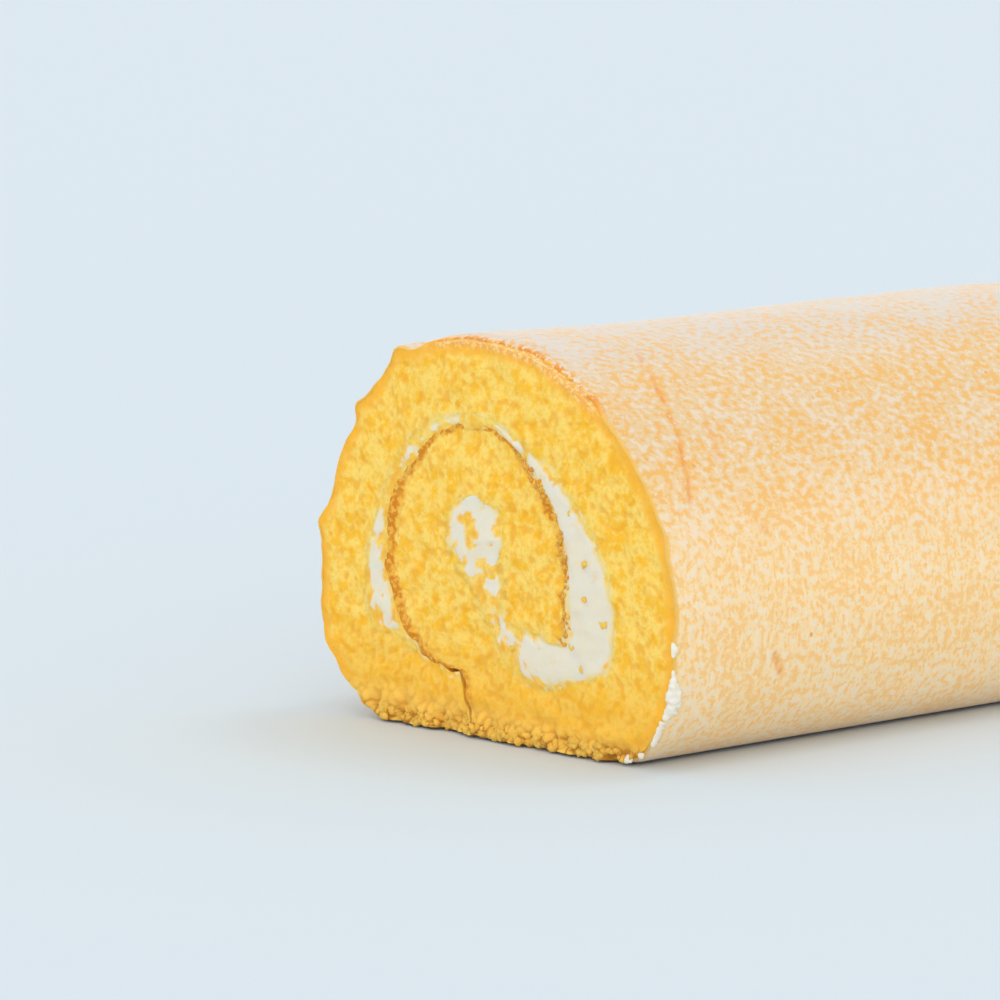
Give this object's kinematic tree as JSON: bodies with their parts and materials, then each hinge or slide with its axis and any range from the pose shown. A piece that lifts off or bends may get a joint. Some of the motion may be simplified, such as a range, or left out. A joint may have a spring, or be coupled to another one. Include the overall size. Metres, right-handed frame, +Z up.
{
  "type": "roll cake",
  "caption": "Whole sponge roll with a spiral of cream filling, cut square at both ends and lying on its flattened underside.",
  "frame": {"origin": "on the table under the middle of the roll", "axes": "+X to the right as the front cut end is seen, +Y along the roll from the front cut end to the far one, +Z up"},
  "size_m": [0.0978, 0.24, 0.075],
  "materials": {
    "sponge": "matte, open yellow crumb with a thin browned skin",
    "cream": "soft satin whipped cream"
  },
  "bodies": {
    "root": {"sponge": "sponge", "cream": "cream"}
  },
  "joints": []
}
